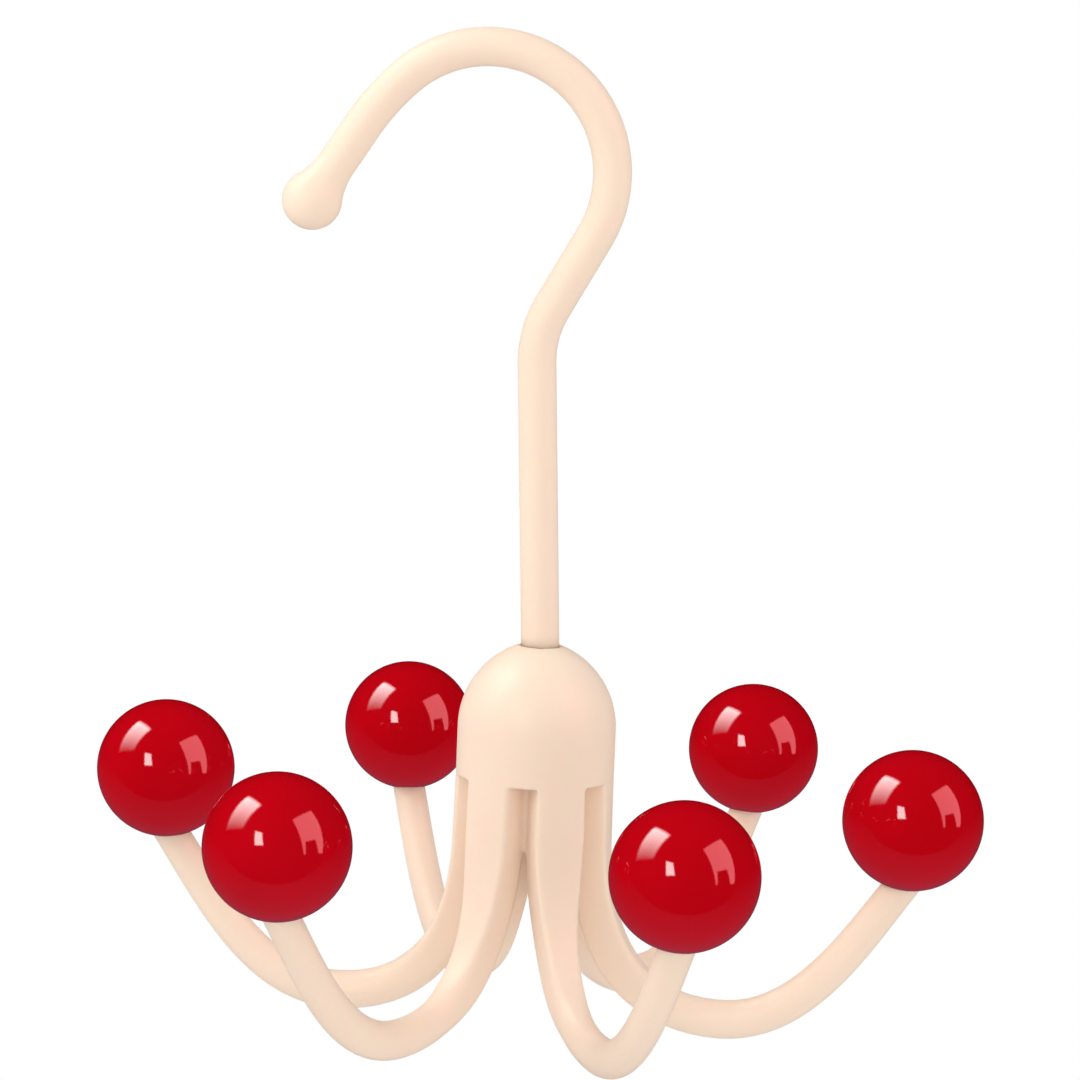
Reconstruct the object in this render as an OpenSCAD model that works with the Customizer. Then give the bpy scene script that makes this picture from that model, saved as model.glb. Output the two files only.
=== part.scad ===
// Swivel hanger for ties, scarves and belts: a rod hook over a hub with six arms,
// each arm ending in a ball.
// The hub turns about +Z under the hook. The origin is on that axis, level with the
// lowest point of the arms. The hook lies in the XZ plane and opens towards -X.

/* [Hook] */
// Diameter of the hook's rod
rod_d = 7.1; // [6:0.1:8.5]
// Length of the straight stem, from the hub's mouth to the neck bend
stem_len = 52.5; // [40:0.5:80]
// Lean of the stem from the swivel axis towards the hook's mouth, degrees
stem_lean = 3; // [0:0.1:4]
// Radius of the neck bend, to the middle of the rod
neck_r = 19.5; // [12:0.1:30]
// Lean of the shank from the swivel axis, away from the hook's mouth, degrees
shank_lean = 28.7; // [20:0.1:40]
// Length of the straight shank
shank_len = 15; // [8:0.5:25]
// Inner radius of the crown, which sits on the rail
throat_r = 19.3; // [15:0.1:25]
// Turn of the crown, degrees
crown_turn = 161.5; // [145:0.5:170]
// Radius of the easing bend after the crown, to the middle of the rod
ease_r = 47; // [30:1:80]
// Turn of the easing bend, degrees
ease_turn = 15; // [5:1:25]
// Length of the straight tail, from the easing bend to the middle of the tip
tail_len = 16.1; // [14:0.1:25]
// Diameter of the ball at the hook's tip
hook_tip_d = 11; // [9.5:0.1:14]
// Radius of the hollow between the tip's ball and the rod
hook_tip_fillet_r = 12; // [5:0.5:20]

/* [Swivel] */
// Diameter of the hook's journal, which turns in the hub
journal_d = 5.6; // [5:0.1:6]
// Play between the journal and its bore, on the radius
journal_play = 0.07; // [0.03:0.01:0.1]
// Depth of the recess in the top of the hub, where the stem stands
mouth_depth = 0.9; // [0.7:0.1:1.5]
// Gap round the stem in the recess, on the radius
mouth_gap = 0.2; // [0.15:0.05:0.4]
// Gap between the stem's shoulder and the floor of the recess
shoulder_gap = 0.3; // [0.2:0.05:0.5]
// Gap between the hub's web and the washer
washer_gap = 0.1; // [0.05:0.05:0.3]
// Diameter of the retaining washer
washer_d = 12; // [9:0.5:14]
// Thickness of the retaining washer
washer_t = 1; // [0.6:0.1:1.6]
// Diameter of the retaining screw
screw_d = 2.5; // [2:0.1:3]
// Length of the screw below its head
screw_len = 9; // [6:0.5:12]
// Diameter of the screw's head
screw_head_d = 5; // [4.5:0.1:7]
// Height of the screw's head
screw_head_h = 1.9; // [1.4:0.1:2.5]
// Width of the cross slot in the screw's head
slot_w = 0.8; // [0.5:0.1:1]
// Depth of the cross slot
slot_depth = 0.9; // [0.5:0.1:1.2]
// Gap round the screw in its holes, on the radius
screw_gap = 0.05; // [0.02:0.01:0.1]

/* [Hub] */
// Outer diameter of the hub
hub_d = 29.5; // [27:0.5:32]
// Height of the hub's straight skirt
skirt_h = 9.1; // [5:0.1:20]
// Radius of the dome's outline
dome_curve_r = 16.5; // [15.5:0.5:22]
// Thickness of the hub's wall, which is also the depth of the arms' legs
hub_wall = 6.6; // [5:0.1:7.5]
// Thickness of the web that the journal passes through
web_t = 8; // [4:0.5:10]

/* [Arms] */
// Bearing of the first arm from +X about +Z, degrees
arm_turn = -8.3; // [-60:0.1:60]
// Width of an arm at the hub
arm_w = 9.5; // [7:0.1:9.6]
// Width of an arm at its lowest point
low_w = 6.2; // [5:0.1:8]
// Depth of an arm at its lowest point
low_t = 7.3; // [5:0.1:8.5]
// Diameter of an arm's round tip, which the ball is pressed on
arm_tip_d = 6.4; // [5:0.1:8]
// Length of the straight leg under the hub
leg_len = 12; // [5:0.5:30]
// Depth of the arm's lowest point below the hub, to the middle of the arm
arm_drop = 43.9; // [35:0.1:60]
// Distance of the arm's lowest point from the swivel axis
low_reach = 36.7; // [30:0.1:45]
// Lean of the arm's tip from the horizontal, degrees
tip_lean = 56; // [45:1:90]
// Length of an arm's straight tip below its ball
tip_straight = 2.5; // [1:0.1:5]
// Squareness of an arm's section at the hub, where 2 is an ellipse
leg_square = 20; // [2:1:30]

/* [Balls] */
// Diameter of a ball
ball_d = 26; // [20:0.5:34]
// Distance of a ball's middle from the swivel axis
ball_reach = 70.7; // [60:0.1:90]
// Height of a ball's middle above the arm's lowest point, to the middle of the arm
ball_rise = 40.3; // [35:0.1:60]
// How far down its inner side, from level with its middle, an arm enters a ball, degrees
entry_turn = 82; // [60:1:90]
// Depth of the arm's tip in its ball
socket_depth = 9; // [6:0.5:12]
// Gap round the tip in its socket
socket_gap = 0.05; // [0.02:0.01:0.2]

/* [Hidden] */
$fn = 96;
PLACES = ["right", "back_right", "back_left", "left", "front_left", "front_right"];

CREAM = [0.97, 0.87, 0.77];
RED = [0.72, 0.03, 0.08];
STEEL = [0.75, 0.76, 0.78];

// How far a cut runs past the face that it opens
CUT_OVER = 1;
// How far a straight of the hook's rod reaches over the bends at its ends, and how much
// slimmer the bends are on the radius, so that the two join in a clean cut
JOIN = 0.05;
SLIM = 0.01;
// How strongly the arm's curves hold on to the direction of each end, as a share of their span
LEG_PULL = 0.64;
LOW_PULL = 0.63;
RISE_PULL = 0.45;
TIP_PULL = 0.58;
// Shares of the way down an arm between which its width narrows
NARROW_FROM = 0.15;
NARROW_TO = 0.6;
// Share of the way down an arm at which its section has become an ellipse
ROUND_FROM = 0.85;
// Points round an arm's section, and rings along each stretch of it
SIDES = 20;
// How strongly the points round a section gather at its corners
CORNER_PULL = 1.35;
LEG_RINGS = 4;
BEND_RINGS = 14;
RISE_RINGS = 14;

rod_r = rod_d / 2;
hub_r = hub_d / 2;
ball_r = ball_d / 2;
tip_r = arm_tip_d / 2;
journal_r = journal_d / 2;
screw_r = screw_d / 2;

low_z = low_t / 2;
rim_z = low_z + arm_drop;
ball_z = low_z + ball_rise;
shoulder_z = rim_z + skirt_h;
mouth_r = rod_r + mouth_gap;
dome_axis_x = hub_r - dome_curve_r;
mouth_z = shoulder_z + sqrt(pow(dome_curve_r, 2) - pow(mouth_r - dome_axis_x, 2));
web_top_z = mouth_z - mouth_depth;
web_z = web_top_z - web_t;
washer_top_z = web_z - washer_gap;
washer_z = washer_top_z - washer_t;
cavity_r = hub_r - hub_wall;

// Points on an arc about a centre, from one bearing to another
function arc_points(centre, r, from, to, steps) =
    [for (i = [0 : steps]) let (a = from + (to - from) * i / steps) centre + r * [cos(a), sin(a)]];

// The point at t on the curve that leaves a towards b and reaches d from c
function bezier(a, b, c, d, t) =
    pow(1 - t, 3) * a + 3 * pow(1 - t, 2) * t * b + 3 * (1 - t) * t * t * c + pow(t, 3) * d;

// The arm's middle line as [distance from the swivel axis, height]
leg_x = hub_r - hub_wall / 2;
leg_end = [leg_x, rim_z - leg_len];
low_point = [low_reach, low_z];
ball_centre = [ball_reach, ball_z];
tip_dir = [cos(tip_lean), sin(tip_lean)];
ball_entry = ball_centre - ball_r * [cos(entry_turn), sin(entry_turn)];
tip_start = ball_entry - tip_straight * tip_dir;
tip_end = ball_entry + socket_depth * tip_dir;

leg_line = [for (i = [0 : LEG_RINGS - 1]) [leg_x, rim_z - leg_len * i / LEG_RINGS]];
bend_line = [
    for (i = [0 : BEND_RINGS - 1])
        bezier(
            leg_end,
            leg_end - [0, LEG_PULL * (leg_end[1] - low_z)],
            low_point - [LOW_PULL * (low_reach - leg_x), 0],
            low_point,
            i / BEND_RINGS
        )
];
rise_line = [
    for (i = [0 : RISE_RINGS])
        bezier(
            low_point,
            low_point + [RISE_PULL * (tip_start[0] - low_reach), 0],
            tip_start - TIP_PULL * (tip_start[1] - low_z) * tip_dir,
            tip_start,
            i / RISE_RINGS
        )
];
arm_line = concat(leg_line, bend_line, rise_line, [tip_end]);
LAST = len(arm_line) - 1;
LOW_RING = LEG_RINGS + BEND_RINGS;
TIP_RING = LAST - 1;

// Length of the arm's middle line up to each ring
function run_to(i) = i == 0 ? 0 : run_to(i - 1) + norm(arm_line[i] - arm_line[i - 1]);
arm_run = [for (i = [0 : LAST]) run_to(i)];

// Shares of the way from the hub to the lowest point, and from there to the ball
function down(i) = min(1, arm_run[i] / arm_run[LOW_RING]);
function up(i) =
    max(0, min(1, (arm_run[i] - arm_run[LOW_RING]) / (arm_run[TIP_RING] - arm_run[LOW_RING])));
function between(a, b, share) = a + (b - a) * share;
function smooth(x) = let (t = max(0, min(1, x))) t * t * (3 - 2 * t);
function narrowing(i) = smooth((down(i) - NARROW_FROM) / (NARROW_TO - NARROW_FROM));

// Direction of the arm's middle line at a ring
function heading(i) =
    i == 0 ? [0, -1] :
    i >= TIP_RING ? tip_dir :
    (arm_line[i + 1] - arm_line[i - 1]) / norm(arm_line[i + 1] - arm_line[i - 1]);

// Half width, half depth and squareness of the arm's section at a ring
function half_width(i) = between(between(arm_w, low_w, narrowing(i)), arm_tip_d, up(i)) / 2;
function half_depth(i) = between(between(hub_wall, low_t, down(i)), arm_tip_d, up(i)) / 2;
function squareness(i) = between(leg_square, 2, smooth(down(i) / ROUND_FROM));

// A point of a superellipse of squareness n, as [across, deep]
function section_point(w, t, n, a) =
    let (
        corner = 90 * floor(a / 90) + 45,
        off = (a - corner) / 45,
        b = corner + 45 * sign(off) * pow(abs(off), CORNER_PULL),
        size = pow(pow(abs(cos(b)), n) + pow(abs(sin(b)), n), -1 / n)
    )
    [w * size * cos(b), t * size * sin(b)];

// How far the leg's outer face falls back from flat, to lie flush with the round hub
function hub_fall(i, s) =
    s[1] <= 0 ? 0 :
    pow(1 - down(i), 2) * (hub_r - sqrt(pow(hub_r, 2) - pow(s[0], 2))) * s[1] / half_depth(i);

// A point of the arm's skin, for an arm that points along +X
function skin_point(i, side) =
    let (
        s = section_point(half_width(i), half_depth(i), squareness(i), 360 * (side + 0.5) / SIDES),
        h = heading(i),
        out = s[1] - hub_fall(i, s)
    )
    [arm_line[i][0] - h[1] * out, s[0], arm_line[i][1] + h[0] * out];

arm_points = [for (i = [0 : LAST], side = [0 : SIDES - 1]) skin_point(i, side)];
arm_faces = concat(
    [[for (side = [0 : SIDES - 1]) side]],
    [for (i = [0 : LAST - 1], side = [0 : SIDES - 1]) let (next = (side + 1) % SIDES)
        [i * SIDES + side, (i + 1) * SIDES + side, (i + 1) * SIDES + next]],
    [for (i = [0 : LAST - 1], side = [0 : SIDES - 1]) let (next = (side + 1) % SIDES)
        [i * SIDES + side, (i + 1) * SIDES + next, i * SIDES + next]],
    [[for (side = [SIDES - 1 : -1 : 0]) LAST * SIDES + side]]
);

// The hook's tip: its ball, and the hollow that runs into the rod
hook_tip_r = hook_tip_d / 2;
fillet_x = rod_r - SLIM + hook_tip_fillet_r;
hook_tip_len = sqrt(pow(hook_tip_r + hook_tip_fillet_r, 2) - pow(fillet_x, 2));
fillet_turn = atan2(hook_tip_len, fillet_x);
hook_tip_outline = concat(
    [[0, -hook_tip_len]],
    arc_points([fillet_x, -hook_tip_len], hook_tip_fillet_r, 180, 180 - fillet_turn, 8),
    arc_points([0, 0], hook_tip_r, -fillet_turn + 4, 86, 20),
    [[0, hook_tip_r]]
);

// A straight length of rod, and what follows it
module straight(length) {
    translate([0, 0, -JOIN]) cylinder(r = rod_r, h = length + 2 * JOIN);
    translate([0, 0, length]) children();
}

// A bend in the rod and what follows it. A turn above 0 goes towards -X.
module bend(radius, turn) {
    side = sign(turn);
    rotate([0, 0, turn > 0 ? 0 : 180])
        translate([-radius, 0, 0])
            rotate([90, 0, 0])
                rotate_extrude(angle = abs(turn))
                    translate([radius, 0]) circle(rod_r - SLIM);
    translate([-side * radius, 0, 0])
        rotate([0, -turn, 0])
            translate([side * radius, 0, 0]) children();
}

// The pear-shaped tip, from where it leaves the rod
module hook_tip() {
    translate([0, 0, hook_tip_len]) rotate_extrude() polygon(hook_tip_outline);
}

// The hook's rod, from below the hub's mouth to its tip
module hook_rod() {
    below_mouth = mouth_depth + CUT_OVER;
    translate([0, 0, mouth_z])
        rotate([0, -stem_lean, 0])
            translate([0, 0, -below_mouth])
                straight(below_mouth + stem_len)
                    bend(neck_r, -stem_lean - shank_lean)
                        straight(shank_len)
                            bend(throat_r + rod_r, crown_turn)
                                straight(0)
                                    bend(ease_r, ease_turn)
                                        straight(tail_len - hook_tip_len) hook_tip();
}

module swivel_hook() {
    foot_z = web_top_z + shoulder_gap;
    color(CREAM) difference() {
        union() {
            difference() {
                hook_rod();
                translate([0, 0, foot_z - rod_d]) cylinder(r = rod_d, h = rod_d);
            }
            translate([0, 0, washer_top_z]) cylinder(r = journal_r, h = foot_z + CUT_OVER - washer_top_z);
        }
        translate([0, 0, washer_top_z - CUT_OVER])
            cylinder(r = screw_r + screw_gap, h = screw_len - washer_t + 2 * CUT_OVER);
    }
}

module retaining_washer() {
    color(STEEL) translate([0, 0, washer_z]) difference() {
        cylinder(d = washer_d, h = washer_t);
        translate([0, 0, -CUT_OVER]) cylinder(r = screw_r + screw_gap, h = washer_t + 2 * CUT_OVER);
    }
}

module retaining_screw() {
    rim_h = screw_head_h / 2;
    slot_cut_h = slot_depth + CUT_OVER;
    color(STEEL) translate([0, 0, washer_z]) {
        cylinder(r = screw_r, h = screw_len);
        difference() {
            union() {
                translate([0, 0, -rim_h]) cylinder(d = screw_head_d, h = rim_h);
                translate([0, 0, -screw_head_h])
                    cylinder(d1 = screw_head_d * 0.7, d2 = screw_head_d, h = screw_head_h - rim_h);
            }
            for (turn = [0, 90])
                translate([0, 0, slot_depth - screw_head_h - slot_cut_h / 2])
                    rotate([0, 0, turn])
                        cube([screw_head_d * 0.6, slot_w, slot_cut_h], center = true);
        }
    }
}

// Outline of the hub's crown from the swivel axis out
module crown_outline() {
    translate([0, rim_z]) square([hub_r, skirt_h]);
    intersection() {
        translate([dome_axis_x, shoulder_z]) circle(dome_curve_r);
        translate([0, shoulder_z]) square([hub_d, dome_curve_r]);
    }
}

module hub_crown() {
    color(CREAM) rotate_extrude() difference() {
        crown_outline();
        translate([0, rim_z - CUT_OVER]) square([cavity_r, web_z - rim_z + CUT_OVER]);
        square([journal_r + journal_play, mouth_z]);
        translate([0, web_top_z]) square([mouth_r, dome_curve_r]);
    }
}

// Places what points along +X at the arm of that number
module at_arm(number) {
    rotate([0, 0, arm_turn + 360 * number / len(PLACES)]) children();
}

module arm(number) {
    color(CREAM) at_arm(number) polyhedron(points = arm_points, faces = arm_faces);
}

module ball(number) {
    lead_in = ball_r / 2;
    color(RED) at_arm(number) difference() {
        translate([ball_reach, 0, ball_z]) sphere(r = ball_r);
        translate([ball_entry[0], 0, ball_entry[1]])
            rotate([0, 90 - tip_lean, 0])
                translate([0, 0, -lead_in])
                    cylinder(r = tip_r + socket_gap, h = lead_in + socket_depth + 2 * socket_gap);
    }
}

swivel_hook();
retaining_washer();
retaining_screw();
hub_crown();
for (i = [0 : len(PLACES) - 1]) {
    arm(i);
    ball(i);
}
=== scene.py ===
"""Visual model of the tie hanger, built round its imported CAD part."""
import math

import bmesh
import bpy
from mathutils import Matrix, Vector


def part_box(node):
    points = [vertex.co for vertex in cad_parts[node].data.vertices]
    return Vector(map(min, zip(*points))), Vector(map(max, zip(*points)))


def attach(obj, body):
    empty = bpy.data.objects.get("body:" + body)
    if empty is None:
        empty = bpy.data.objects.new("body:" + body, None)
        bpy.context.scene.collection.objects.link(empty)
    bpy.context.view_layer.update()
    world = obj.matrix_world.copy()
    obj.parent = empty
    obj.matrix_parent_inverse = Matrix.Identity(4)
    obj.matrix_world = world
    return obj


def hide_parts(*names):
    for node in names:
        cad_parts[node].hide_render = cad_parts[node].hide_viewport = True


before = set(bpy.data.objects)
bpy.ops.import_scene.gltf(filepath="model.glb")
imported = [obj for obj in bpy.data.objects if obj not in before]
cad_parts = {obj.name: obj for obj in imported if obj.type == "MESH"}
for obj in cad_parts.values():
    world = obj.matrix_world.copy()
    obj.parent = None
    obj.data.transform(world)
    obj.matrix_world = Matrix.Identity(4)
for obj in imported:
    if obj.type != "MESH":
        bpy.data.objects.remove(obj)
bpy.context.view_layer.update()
scene = bpy.context.scene
MM = 0.001

# Sizes are in mm and turns in degrees. Those that the CAD source has too bear its names, in capitals

# Arms round the hub, and the turn of the first one from the X axis
PLACES = ["right", "back_right", "back_left", "left", "front_left", "front_right"]
ARM_STEP = 360 / len(PLACES)
ARM_TURN = -8.3

# Hub: a skirt under a dome, with a web inside that the hook's journal runs through
HUB_D = 29.5
SKIRT_H = 9.1
DOME_CURVE_R = 16.5
HUB_WALL = 6.6
WEB_T = 8.0
JOURNAL_D = 5.6
JOURNAL_PLAY = 0.07
MOUTH_DEPTH = 0.9
MOUTH_GAP = 0.2
SHOULDER_GAP = 0.3

# Arm: a straight leg, a bend to the lowest point, and a rise to the tip
ARM_W = 9.5
LOW_W = 6.2
LOW_T = 7.3
ARM_TIP_D = 6.4
LEG_LEN = 12.0
LEG_TOP = 4.0
ARM_DROP = 43.9
LOW_REACH = 36.7
TIP_LEAN = 56
TIP_STRAIGHT = 2.5

# How far the arm's curve is pulled along its ends' headings, as shares of the way
LEG_PULL = 0.64
LOW_PULL = 0.63
RISE_PULL = 0.45
TIP_PULL = 0.58

# Where the arm narrows and where it is round, as shares of the way down to its lowest point
NARROW_FROM = 0.15
NARROW_TO = 0.6
ROUND_FROM = 0.85

# Powers of the arm's section, from a square leg to a round tip, and how far its points draw to the corners
LEG_SQUARE = 20.0
ROUND = 2
CORNER_PULL = 1.35

# Balls on the arms' tips
BALL_D = 26.0
BALL_REACH = 70.7
BALL_RISE = 40.3
ENTRY_TURN = 82
TIP_IN_BALL = 8.0

# Hook: stem, neck, shank, crown and tail, which ends in a round tip
ROD_D = 7.1
STEM_LEN = 52.5
STEM_LEAN = 3.0
NECK_R = 19.5
SHANK_LEAN = 28.7
SHANK_LEN = 15.0
THROAT_R = 19.3
CROWN_TURN = 161.5
EASE_R = 47.0
EASE_TURN = 15.0
TAIL_LEN = 16.1
HOOK_TIP_D = 11.0
HOOK_TIP_FILLET_R = 12.0
JOURNAL_LAP = 1.0

LEG_STEPS = 8
BEND_STEPS = 44
RISE_STEPS = 44
ARM_SIDES = 68
SKIRT_STEPS = 6
DOME_STEPS = 40
HUB_SIDES = 180
ROD_SIDES = 72
JOURNAL_SIDES = 48
DEGREES_A_STEP = 1.5
FILLET_STEPS = 14
TIP_STEPS = 40
BALL_CUTS = 6
SKIN_SIZE = 0.34
SOFTEN_SHARE = 0.5
SOFTEN_ROUNDS = 3

# What follows from them
HUB_R = HUB_D / 2
BALL_R = BALL_D / 2
ROD_R = ROD_D / 2
JOURNAL_R = JOURNAL_D / 2
TIP_R = ARM_TIP_D / 2
HOOK_TIP_R = HOOK_TIP_D / 2
LOW_Z = LOW_T / 2
RIM_Z = LOW_Z + ARM_DROP
BALL_Z = LOW_Z + BALL_RISE
SHOULDER_Z = RIM_Z + SKIRT_H
MOUTH_R = ROD_R + MOUTH_GAP
DOME_AXIS_X = HUB_R - DOME_CURVE_R
MOUTH_Z = SHOULDER_Z + math.sqrt(DOME_CURVE_R ** 2 - (MOUTH_R - DOME_AXIS_X) ** 2)
WEB_TOP_Z = MOUTH_Z - MOUTH_DEPTH
WEB_Z = WEB_TOP_Z - WEB_T
FOOT_Z = WEB_TOP_Z + SHOULDER_GAP
LEG_X = HUB_R - HUB_WALL / 2


# Meshes

def add_object(name, mesh):
    """Puts a mesh in the scene, smooth shaded."""
    mesh.polygons.foreach_set("use_smooth", [True] * len(mesh.polygons))
    obj = bpy.data.objects.new(name, mesh)
    scene.collection.objects.link(obj)
    return obj


def object_from(made, name):
    """Turns a bmesh into an object, and frees it."""
    mesh = bpy.data.meshes.new(name)
    made.to_mesh(mesh)
    made.free()
    return add_object(name, mesh)


def tube(name, rings, closed=False):
    """A skin over rings of points; closed joins the last ring to the first, else both ends are capped."""
    count, sides = len(rings), len(rings[0])
    made = bmesh.new()
    rows = [[made.verts.new(point) for point in ring] for ring in rings]
    for i in range(count if closed else count - 1):
        row, after = rows[i], rows[(i + 1) % count]
        for k in range(sides):
            n = (k + 1) % sides
            made.faces.new((row[k], row[n], after[n], after[k]))
    if not closed:
        made.faces.new(rows[0])
        made.faces.new(rows[-1])
    bmesh.ops.recalc_face_normals(made, faces=made.faces)
    return object_from(made, name)


def lathe(name, outline, steps):
    """Turns a closed outline of (radius, height) round the Z axis."""
    rings = []
    for i in range(steps):
        a = 2 * math.pi * i / steps
        rings.append([(r * math.cos(a), r * math.sin(a), z) for r, z in outline])
    return tube(name, rings, closed=True)


def join(name, parts):
    """One object in place of several."""
    made = bmesh.new()
    for part in parts:
        made.from_mesh(part.data)
        bpy.data.objects.remove(part)
    return object_from(made, name)


def turned(degrees, axis):
    return Matrix.Rotation(math.radians(degrees), 3, axis)


def to_arm(number):
    """The turn round the swivel axis that brings the X axis to an arm's place."""
    return turned(ARM_TURN + ARM_STEP * number, "Z")


def share(x):
    """x, kept between 0 and 1."""
    return max(0, min(1, x))


def smooth(x):
    """A soft step from 0 to 1."""
    x = share(x)
    return x * x * (3 - 2 * x)


def between(start, end, way):
    return start + (end - start) * way


def bezier(a, b, c, d, t):
    """The point at a share t of the cubic curve from a to d, pulled by b and c."""
    return a * (1 - t) ** 3 + b * 3 * (1 - t) ** 2 * t + c * 3 * (1 - t) * t * t + d * t ** 3


# Arms, whose middle line is given as (distance from the swivel axis, height)

def step(degrees):
    """A unit step in the arm's plane, at a turn up from level."""
    turn = math.radians(degrees)
    return Vector((math.cos(turn), math.sin(turn)))


TIP_HEADING = step(TIP_LEAN)
BALL_ENTRY = Vector((BALL_REACH, BALL_Z)) - BALL_R * step(ENTRY_TURN)
TIP_START = BALL_ENTRY - TIP_STRAIGHT * TIP_HEADING
LEG_END = Vector((LEG_X, RIM_Z - LEG_LEN))
LOW_POINT = Vector((LOW_REACH, LOW_Z))


def arm_line():
    """Points down the arm from inside the hub's wall to inside the ball, and the lowest one's number."""
    leg_pull = Vector((0, -LEG_PULL * (LEG_END.y - LOW_Z)))
    low_pull = Vector((LOW_PULL * (LOW_REACH - LEG_X), 0))
    rise_pull = Vector((RISE_PULL * (TIP_START.x - LOW_REACH), 0))
    tip_pull = TIP_PULL * (TIP_START.y - LOW_Z) * TIP_HEADING
    bend = (LEG_END, LEG_END + leg_pull, LOW_POINT - low_pull, LOW_POINT)
    rise = (LOW_POINT, LOW_POINT + rise_pull, TIP_START - tip_pull, TIP_START)
    line = [Vector((LEG_X, RIM_Z + LEG_TOP))]
    line += [Vector((LEG_X, RIM_Z - LEG_LEN * i / LEG_STEPS)) for i in range(LEG_STEPS)]
    line += [bezier(*bend, i / BEND_STEPS) for i in range(BEND_STEPS)]
    lowest = len(line)
    line += [bezier(*rise, i / RISE_STEPS) for i in range(RISE_STEPS + 1)]
    line.append(BALL_ENTRY + TIP_IN_BALL * TIP_HEADING)
    return line, lowest


def arm_section(down, up):
    """Points round the arm as (across, deep), at shares of the way down to its low point and up its rise."""
    narrow = smooth((down - NARROW_FROM) / (NARROW_TO - NARROW_FROM))
    half_w = between(between(ARM_W, LOW_W, narrow) / 2, TIP_R, up)
    half_t = between(between(HUB_WALL, LOW_T, down) / 2, TIP_R, up)
    power = between(LEG_SQUARE, ROUND, smooth(down / ROUND_FROM))
    section = []
    for k in range(ARM_SIDES):
        turn = 360 * (k + 0.5) / ARM_SIDES
        corner = 90 * (turn // 90) + 45
        off = (turn - corner) / 45
        a = math.radians(corner + 45 * math.copysign(abs(off) ** CORNER_PULL, off))
        size = (abs(math.cos(a)) ** power + abs(math.sin(a)) ** power) ** (-1 / power)
        across, deep = half_w * size * math.cos(a), half_t * size * math.sin(a)
        if deep > 0:
            # The leg's outer face starts as round as the hub and turns flat on the way down
            fall = HUB_R - math.sqrt(HUB_R ** 2 - across ** 2)
            deep -= (1 - down) ** 2 * fall * deep / half_t
        section.append((across, deep))
    return section


def arm_mesh(number):
    """One arm as a swept body that starts inside the hub's wall."""
    line, lowest = arm_line()
    tip = len(line) - 2
    run = [-LEG_TOP]
    for point, after in zip(line, line[1:]):
        run.append(run[-1] + (after - point).length)
    rings = []
    for i, point in enumerate(line):
        if i <= 1:
            heading = Vector((0, -1))
        elif i >= tip:
            heading = TIP_HEADING
        else:
            heading = (line[i + 1] - line[i - 1]).normalized()
        down = share(run[i] / run[lowest])
        up = share((run[i] - run[lowest]) / (run[tip] - run[lowest]))
        rings.append([
            to_arm(number) @ Vector((point.x - heading.y * deep, across, point.y + heading.x * deep))
            for across, deep in arm_section(down, up)])
    return tube("arm", rings)


# Hub

def hub_outline():
    """Section of the hub's crown, as (radius, height)."""
    cavity_r = HUB_R - HUB_WALL
    bore_r = JOURNAL_R + JOURNAL_PLAY
    outline = [(cavity_r, RIM_Z)]
    outline += [(HUB_R, RIM_Z + SKIRT_H * i / SKIRT_STEPS) for i in range(SKIRT_STEPS)]
    to_mouth = math.acos((MOUTH_R - DOME_AXIS_X) / DOME_CURVE_R)
    for i in range(DOME_STEPS + 1):
        a = to_mouth * i / DOME_STEPS
        outline.append((DOME_AXIS_X + DOME_CURVE_R * math.cos(a), SHOULDER_Z + DOME_CURVE_R * math.sin(a)))
    outline += [(MOUTH_R, WEB_TOP_Z), (bore_r, WEB_TOP_Z), (bore_r, WEB_Z), (cavity_r, WEB_Z)]
    return outline


def hub_moulding():
    """The hub and its six arms in one skin, with softened edges."""
    crown = lathe("crown", hub_outline(), HUB_SIDES)
    rough = join("hub_rough", [crown] + [arm_mesh(i) for i in range(len(PLACES))])
    skin = rough.modifiers.new("skin", "REMESH")
    skin.mode = "VOXEL"
    skin.voxel_size = SKIN_SIZE
    skin.use_smooth_shade = True
    soften = rough.modifiers.new("soften", "SMOOTH")
    soften.factor = SOFTEN_SHARE
    soften.iterations = SOFTEN_ROUNDS
    shown = rough.evaluated_get(bpy.context.evaluated_depsgraph_get())
    hub = add_object("hub_with_arms", bpy.data.meshes.new_from_object(shown))
    bpy.data.objects.remove(rough)
    return hub


# Hook

def hook_tip():
    """Length of the rod's end that widens to the round tip, and its outline as (way along, radius)."""
    fillet_x = ROD_R + HOOK_TIP_FILLET_R
    tip_len = math.sqrt((HOOK_TIP_R + HOOK_TIP_FILLET_R) ** 2 - fillet_x ** 2)
    turn = math.atan2(tip_len, fillet_x)
    outline = []
    for i in range(1, FILLET_STEPS + 1):
        a = turn * i / FILLET_STEPS
        outline.append((HOOK_TIP_FILLET_R * math.sin(a), fillet_x - HOOK_TIP_FILLET_R * math.cos(a)))
    for i in range(1, TIP_STEPS):
        a = (math.pi / 2 + turn) * i / TIP_STEPS - turn
        outline.append((tip_len + HOOK_TIP_R * math.sin(a), HOOK_TIP_R * math.cos(a)))
    return tip_len, outline


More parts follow.
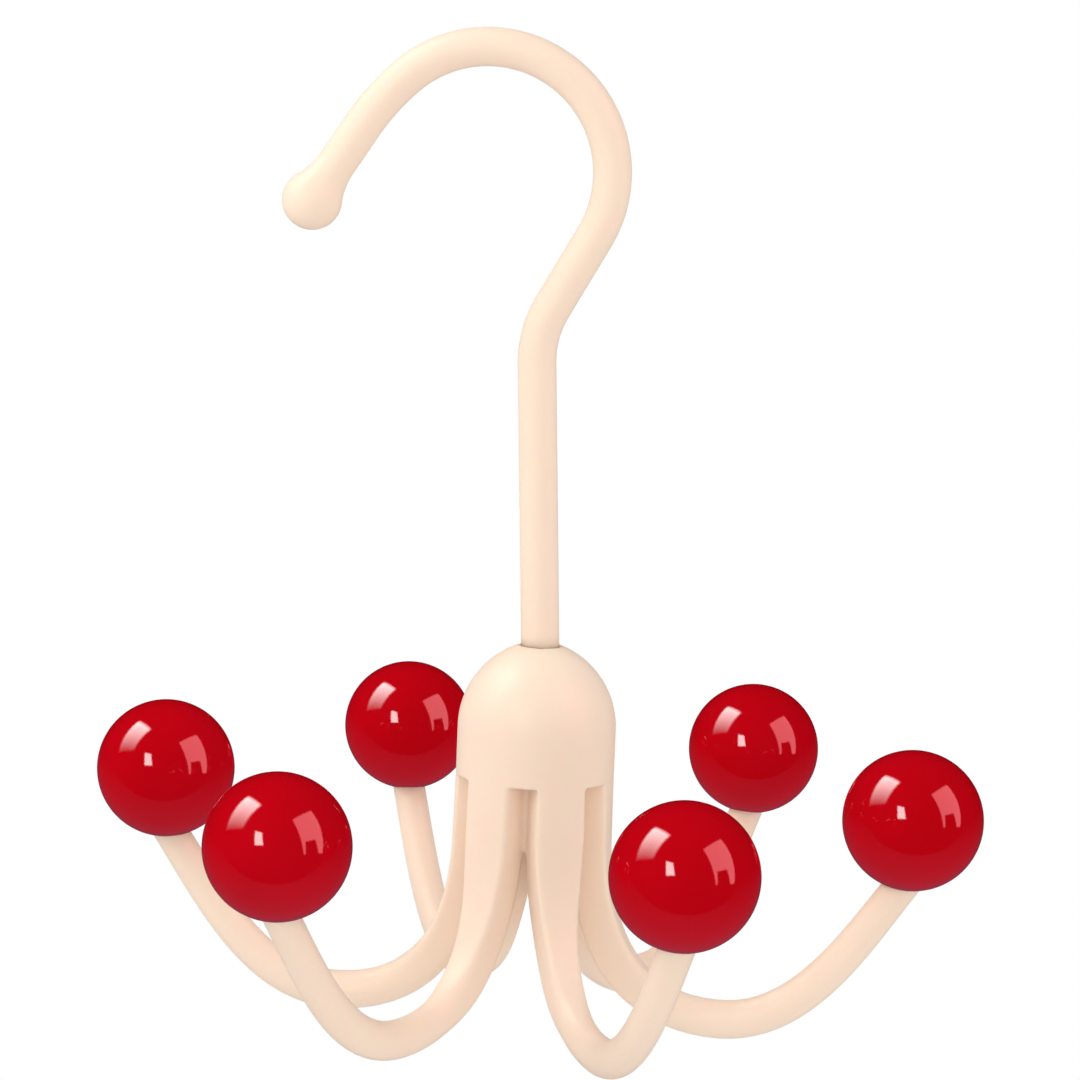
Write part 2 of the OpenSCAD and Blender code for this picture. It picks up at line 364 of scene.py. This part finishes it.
def hook_path():
    """Points up the hook's rod from its foot in the hub's mouth, as (x, z, heading, radius)."""
    x, z, h = 0.0, MOUTH_Z, math.radians(90 + STEM_LEAN)
    foot = (FOOT_Z - MOUTH_Z) / math.sin(h)
    path = [(x + foot * math.cos(h), FOOT_Z, h, ROD_R)]

    def ahead(length, steps):
        nonlocal x, z
        for _ in range(steps):
            x += length / steps * math.cos(h)
            z += length / steps * math.sin(h)
            path.append((x, z, h, ROD_R))

    def bend(radius, turn):
        nonlocal x, z, h
        steps = round(abs(turn) / DEGREES_A_STEP)
        side = math.copysign(radius, turn)
        middle_x, middle_z = x - side * math.sin(h), z + side * math.cos(h)
        for _ in range(steps):
            h += math.radians(turn) / steps
            x, z = middle_x + side * math.sin(h), middle_z - side * math.cos(h)
            path.append((x, z, h, ROD_R))

    tip_len, tip_outline = hook_tip()
    ahead(STEM_LEN, steps=24)
    bend(NECK_R, -STEM_LEAN - SHANK_LEAN)
    ahead(SHANK_LEN, steps=8)
    bend(THROAT_R + ROD_R, CROWN_TURN)
    bend(EASE_R, EASE_TURN)
    ahead(TAIL_LEN - tip_len, steps=4)
    return path + [(x + way * math.cos(h), z + way * math.sin(h), h, r) for way, r in tip_outline]


def rod_ring(x, z, h, radius, sides=ROD_SIDES):
    """Points round the rod, square to its heading in the XZ plane."""
    ring = []
    for k in range(sides):
        a = 2 * math.pi * k / sides
        side = radius * math.cos(a)
        ring.append(Vector((x - side * math.sin(h), radius * math.sin(a), z + side * math.cos(h))))
    return ring


def hook_mesh():
    """The hook's rod, cut off level at its foot, with its tip and its journal."""
    path = hook_path()
    rings = [rod_ring(*place) for place in path]
    _, _, h, _ = path[0]
    up_stem = Vector((math.cos(h), 0, math.sin(h)))
    rings[0] = [point + (FOOT_Z - point.z) / up_stem.z * up_stem for point in rings[0]]
    washer_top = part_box("retaining_washer")[1].z / MM
    journal_ends = (washer_top, FOOT_Z + JOURNAL_LAP)
    journal = [rod_ring(0, z, math.pi / 2, JOURNAL_R, sides=JOURNAL_SIDES) for z in journal_ends]
    return join("hook", [tube("rod", rings), tube("journal", journal)])


# Balls

def ball_mesh(number):
    """One ball at its arm's tip."""
    made = bmesh.new()
    bmesh.ops.create_icosphere(made, subdivisions=BALL_CUTS, radius=BALL_R)
    bmesh.ops.translate(made, verts=made.verts, vec=to_arm(number) @ Vector((BALL_REACH, 0, BALL_Z)))
    return object_from(made, "red_ball_" + PLACES[number])


# Shader nodes

NOISE_DETAIL = 3.0

# Span that nearly all of a noise's values lie in
CLOUD_SPAN = (0.3, 0.7)


def set_inputs(tree, node, inputs):
    """Links each input of a node to the socket given for it, or sets it to the value."""
    for name, value in inputs.items():
        if isinstance(value, bpy.types.NodeSocket):
            tree.links.new(value, node.inputs[name])
        else:
            node.inputs[name].default_value = value


def add_node(tree, kind, inputs, **settings):
    """A shader node of a kind, with its inputs and its settings."""
    node = tree.nodes.new("ShaderNode" + kind)
    for name, value in settings.items():
        setattr(node, name, value)
    set_inputs(tree, node, inputs)
    return node


def maths(tree, operation, a, b, clamp=False):
    return add_node(tree, "Math", {0: a, 1: b}, operation=operation, use_clamp=clamp).outputs[0]


def choose(tree, factor, no, yes):
    """One shader where the factor is 0, the other where it is 1."""
    return add_node(tree, "MixShader", {0: factor, 1: no, 2: yes}).outputs[0]


def noise(tree, scale):
    """A cloudy value that changes over the object; a greater scale makes the clouds smaller."""
    place = add_node(tree, "TexCoord", {}).outputs["Object"]
    clouds = {"Vector": place, "Scale": scale, "Detail": NOISE_DETAIL}
    return add_node(tree, "TexNoise", clouds).outputs["Fac"]


def between_colours(tree, factor, low, high):
    node = add_node(tree, "ValToRGB", {"Fac": factor})
    for stop, position, colour in zip(node.color_ramp.elements, CLOUD_SPAN, (low, high)):
        stop.position = position
        stop.color = (*colour, 1)
    return node.outputs["Color"]


def between_values(tree, factor, low, high):
    span = {"Value": factor, "To Min": low, "To Max": high}
    return add_node(tree, "MapRange", span).outputs["Result"]


def bumps(tree, height, strength, distance):
    relief = {"Height": height, "Strength": strength, "Distance": distance}
    return add_node(tree, "Bump", relief).outputs["Normal"]


def new_material(name):
    made = bpy.data.materials.new(name)
    made.use_nodes = True
    tree = made.node_tree
    return made, tree, tree.nodes["Principled BSDF"]


# Materials

def cream_plastic():
    """Satin plastic that lets a little light in, with a fine grain."""
    made, tree, shader = new_material("cream_plastic")
    cloud = noise(tree, 40)
    grain = noise(tree, 2500)
    set_inputs(tree, shader, {
        "Base Color": between_colours(tree, cloud, (0.895, 0.715, 0.565), (0.915, 0.735, 0.585)),
        "Roughness": between_values(tree, cloud, 0.36, 0.46),
        "Specular IOR Level": 0.25,
        "Subsurface Weight": 0.25,
        "Subsurface Radius": (1.0, 0.45, 0.2),
        "Subsurface Scale": 0.003,
        "Normal": bumps(tree, grain, strength=0.05, distance=0.00005),
    })
    return made


def red_plastic():
    """Plastic with a high gloss."""
    made, tree, shader = new_material("red_gloss_plastic")
    cloud = noise(tree, 60)
    set_inputs(tree, shader, {
        "Base Color": between_colours(tree, cloud, (0.46, 0.0008, 0.005), (0.49, 0.001, 0.007)),
        "Roughness": between_values(tree, cloud, 0.03, 0.06),
    })
    return made


def zinc_steel():
    """Steel with the speckled sheen of zinc plating."""
    made, tree, shader = new_material("zinc_plated_steel")
    cloud = noise(tree, 900)
    set_inputs(tree, shader, {
        "Base Color": between_colours(tree, cloud, (0.55, 0.56, 0.58), (0.68, 0.69, 0.71)),
        "Roughness": between_values(tree, cloud, 0.25, 0.42),
        "Metallic": 1.0,
    })
    return made


CREAM = cream_plastic()
RED = red_plastic()
STEEL = zinc_steel()


# Pieces

def wear(obj, surface):
    """Gives an object one material all over."""
    obj.data.materials.clear()
    obj.data.materials.append(surface)


def finish_piece(obj, surface, slot, body, *nodes, in_mirrors=True):
    """Brings a piece from mm into the frame, gives it its finish, and hides the CAD nodes it stands for."""
    obj.data.transform(Matrix.Scale(MM, 4))
    wear(obj, surface)
    obj.visible_glossy = in_mirrors
    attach(obj, body)
    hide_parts(*nodes)


finish_piece(hook_mesh(), CREAM, "cream_plastic", "hook", "swivel_hook", in_mirrors=False)
arm_names = ["arm_" + place for place in PLACES]
finish_piece(hub_moulding(), CREAM, "cream_plastic", "hub", "hub_crown", *arm_names, in_mirrors=False)
for i, place in enumerate(PLACES):
    finish_piece(ball_mesh(i), RED, "red_gloss", "hub", "ball_" + place)

node_surfaces = {"retaining": STEEL, "ball": RED}
for name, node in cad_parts.items():
    wear(node, node_surfaces.get(name.split("_")[0], CREAM))


# Floor, in metres

FLOOR_DROP = 1.0
FLOOR_HALF = 1.6
FADE_FROM = 0.5
FADE_TO = 1.5


def floor_surface():
    """A pale surface that fades out away from its middle, and that glossy surfaces don't mirror."""
    made, tree, shader = new_material("pale_floor")
    set_inputs(tree, shader, {
        "Base Color": between_colours(tree, noise(tree, 3), (0.86, 0.86, 0.86), (0.9, 0.9, 0.9)),
        "Roughness": 0.8,
    })
    place = add_node(tree, "TexCoord", {}).outputs["Object"]
    far = add_node(tree, "VectorMath", {0: place}, operation="LENGTH").outputs["Value"]
    fade = {"Value": far, "From Min": FADE_FROM, "From Max": FADE_TO, "To Min": 1.0, "To Max": 0.0}
    shown = add_node(tree, "MapRange", fade).outputs["Result"]
    glossy_ray = add_node(tree, "LightPath", {}).outputs["Is Glossy Ray"]
    shown = maths(tree, "SUBTRACT", shown, glossy_ray, clamp=True)
    clear = add_node(tree, "BsdfTransparent", {}).outputs[0]
    surface = choose(tree, shown, clear, shader.outputs[0])
    set_inputs(tree, tree.nodes["Material Output"], {"Surface": surface})
    return made


def pale_floor():
    """A plain floor well below the hanging part."""
    corners = [(x * FLOOR_HALF, y * FLOOR_HALF, 0) for x, y in ((-1, -1), (1, -1), (1, 1), (-1, 1))]
    mesh = bpy.data.meshes.new("floor")
    mesh.from_pydata(corners, [], [(0, 1, 2, 3)])
    mesh.materials.append(floor_surface())
    obj = bpy.data.objects.new("floor", mesh)
    obj.location = (0, 0, -FLOOR_DROP)
    scene.collection.objects.link(obj)


pale_floor()


# Camera, fitted to the outlines of the balls in the photo: its place in metres, its turns in degrees

CAMERA_BEFORE_AXIS = 0.68682
CAMERA_ABOVE_BALLS = 0.13850
LOOK_DOWN = 7.5184
LOOK_LEFT = 0.0711
CAMERA_ROLL = 2.3825
LENS = 124.63
SENSOR_WIDTH = 36

camera_aim = turned(LOOK_LEFT, "Z") @ turned(90 - LOOK_DOWN, "X") @ turned(CAMERA_ROLL, "Z")
camera_place = Vector((0, -CAMERA_BEFORE_AXIS, BALL_Z * MM + CAMERA_ABOVE_BALLS))
camera = bpy.data.objects.new("camera", bpy.data.cameras.new("camera"))
scene.collection.objects.link(camera)
camera.data.sensor_width = SENSOR_WIDTH
camera.data.lens = LENS
camera.data.clip_start = 0.05
camera.data.clip_end = 20
camera.matrix_world = Matrix.Translation(camera_place) @ camera_aim.to_4x4()
scene.camera = camera


# Lamps, which the balls don't mirror, with places and sizes in metres and power in watts

LIT_PLACE = Vector((0, 0, 0.08))


def lamp(name, place, size, power):
    """A square lamp, turned to the hanger."""
    light = bpy.data.lights.new(name, "AREA")
    light.shape = "SQUARE"
    light.size = size
    light.energy = power
    obj = bpy.data.objects.new(name, light)
    scene.collection.objects.link(obj)
    obj.location = place
    obj.rotation_euler = (LIT_PLACE - Vector(place)).to_track_quat("-Z", "Y").to_euler()
    obj.visible_glossy = False
    obj.visible_camera = False


lamp("key", (-0.48, -0.15, 0.42), size=0.35, power=1.25)
lamp("fill", (0.45, -0.8, 0.1), size=0.6, power=0.9)


# World: the lens sees white, an even bright room lights the hanger, and only glossy rays see a dark studio
# with painted highlights and a painted glow, which light nothing

WHITE = (1, 1, 1)
# Tints of the painted rose highlight and of the painted glow from below
ROSE_HIGHLIGHT_TINT = (1, 0.34, 0.37)
GLOW_TINT = (0.7, 0.62, 1.0)
BACKDROP_LIGHT = 1.0
ROOM_LIGHT = 0.93

# Corners of the painted highlights, boxes that only glossy rays see, as the photo's balls mirror them, right
# and up in shares of a ball's radius
LEFT_HIGHLIGHT_CORNERS = [(-0.41, 0.66), (-0.21, 0.57), (-0.43, 0.27), (-0.65, 0.20)]
LEFT_SPOT_CORNERS = [(-0.26, 0.24), (-0.17, 0.22), (-0.15, 0.06), (-0.26, 0.06)]
RIGHT_HIGHLIGHT_CORNERS = [(0.23, 0.39), (0.47, 0.50), (0.62, -0.07), (0.38, -0.07)]
RIGHT_NOTCH_CORNERS = [(0.40, 0.10), (0.53, 0.12), (0.57, -0.10), (0.40, -0.10)]
LEFT_HIGHLIGHT_STRENGTH = 16.0
LEFT_SPOT_STRENGTH = 14.0
RIGHT_HIGHLIGHT_STRENGTH = 6.8

# Half widths of the painted highlights' edges on the unit sphere, and the least cosine off a highlight's
# middle that counts
SHARP_EDGE = 0.02
SOFT_EDGE = 0.04
BOX_SIDE = 0.05

# Painted glow that the balls mirror from below, which lights nothing, and the least painted light that
# glossy rays see
PAINTED_GLOW = 0.22
PAINTED_GLOW_EDGE = 0.08
LEAST_MIRRORED_LIGHT = 0.004


def mirrored_at(x, y):
    """The direction that a ball mirrors to the lens at a place on its face, in shares of its radius."""
    z = math.sqrt(1 - x * x - y * y)
    return camera_aim @ Vector((2 * z * x, 2 * z * y, 2 * z * z - 1))


def along(tree, direction):
    """How far a unit step along the ray goes in a direction."""
    ray = add_node(tree, "TexCoord", {}).outputs["Generated"]
    return add_node(tree, "VectorMath", {0: ray, 1: direction}, operation="DOT_PRODUCT").outputs["Value"]


def painted_highlight(tree, image, edge=SHARP_EDGE, fades=False):
    """A painted highlight that only glossy rays see: 1 in the directions that a ball mirrors inside an image
    on its face, and 0 outside, with a soft edge.

    Where it fades, it does so from the side between the image's first two corners to the far end.
    """
    corners = [mirrored_at(*place) for place in image]
    middle = sum(corners, Vector()).normalized()
    inside = maths(tree, "GREATER_THAN", along(tree, middle), BOX_SIDE)
    for i, corner in enumerate(corners):
        inward = corners[i - 1].cross(corner).normalized()
        if inward.dot(middle) < 0:
            inward = -inward
        depth = along(tree, inward)
        if fades and i == 1:
            reach = max(inward.dot(far) for far in corners)
            kept = maths(tree, "SUBTRACT", 1.0, maths(tree, "MULTIPLY", depth, 1 / reach))
            inside = maths(tree, "MULTIPLY", inside, kept)
        past_edge = maths(tree, "ADD", maths(tree, "DIVIDE", depth, 2 * edge), 0.5, clamp=True)
        inside = maths(tree, "MULTIPLY", inside, past_edge)
    return inside


def painted_glow_below(tree):
    """A faint painted glow from below that only glossy rays see, all but where the ray heads more back to
    the lens than down.
    """
    away = along(tree, (0, 1, 0))
    up = along(tree, (0, 0, 1))
    lit = maths(tree, "DIVIDE", maths(tree, "SUBTRACT", away, up), PAINTED_GLOW_EDGE, clamp=True)
    glow = maths(tree, "MAXIMUM", maths(tree, "MULTIPLY", up, -PAINTED_GLOW), 0.0)
    return maths(tree, "ADD", maths(tree, "MULTIPLY", lit, glow), LEAST_MIRRORED_LIGHT)


def shine(tree, colour, strength):
    return add_node(tree, "Background", {"Color": (*colour, 1), "Strength": strength}).outputs[0]


def both(tree, one, other):
    return add_node(tree, "AddShader", {0: one, 1: other}).outputs[0]


def painted_studio_reflections(tree):
    """Painted highlights that only glossy rays see: two white boxes on the left and a rose one with a notch
    on the right, over the painted glow from below.
    """
    left_highlight = maths(tree, "MULTIPLY", painted_highlight(tree, LEFT_HIGHLIGHT_CORNERS, edge=SOFT_EDGE, fades=True), LEFT_HIGHLIGHT_STRENGTH)
    spot_highlight = maths(tree, "MULTIPLY", painted_highlight(tree, LEFT_SPOT_CORNERS), LEFT_SPOT_STRENGTH)
    # The painted rose highlight, less its notch
    right = maths(tree, "SUBTRACT", painted_highlight(tree, RIGHT_HIGHLIGHT_CORNERS), painted_highlight(tree, RIGHT_NOTCH_CORNERS), clamp=True)
    right = maths(tree, "MULTIPLY", right, RIGHT_HIGHLIGHT_STRENGTH)
    highlights = both(tree, shine(tree, WHITE, maths(tree, "ADD", left_highlight, spot_highlight)), shine(tree, ROSE_HIGHLIGHT_TINT, right))
    return both(tree, shine(tree, GLOW_TINT, painted_glow_below(tree)), highlights)


def studio_world():
    world = bpy.data.worlds.new("studio")
    world.use_nodes = True
    tree = world.node_tree
    tree.nodes.clear()
    rays = add_node(tree, "LightPath", {}).outputs
    # Glossy rays see the painted highlights and glow, all other rays the even room
    light = choose(tree, rays["Is Glossy Ray"], shine(tree, WHITE, ROOM_LIGHT), painted_studio_reflections(tree))
    light = choose(tree, rays["Is Camera Ray"], light, shine(tree, WHITE, BACKDROP_LIGHT))
    add_node(tree, "OutputWorld", {"Surface": light})
    return world


scene.world = studio_world()
scene.view_settings.view_transform = "Standard"
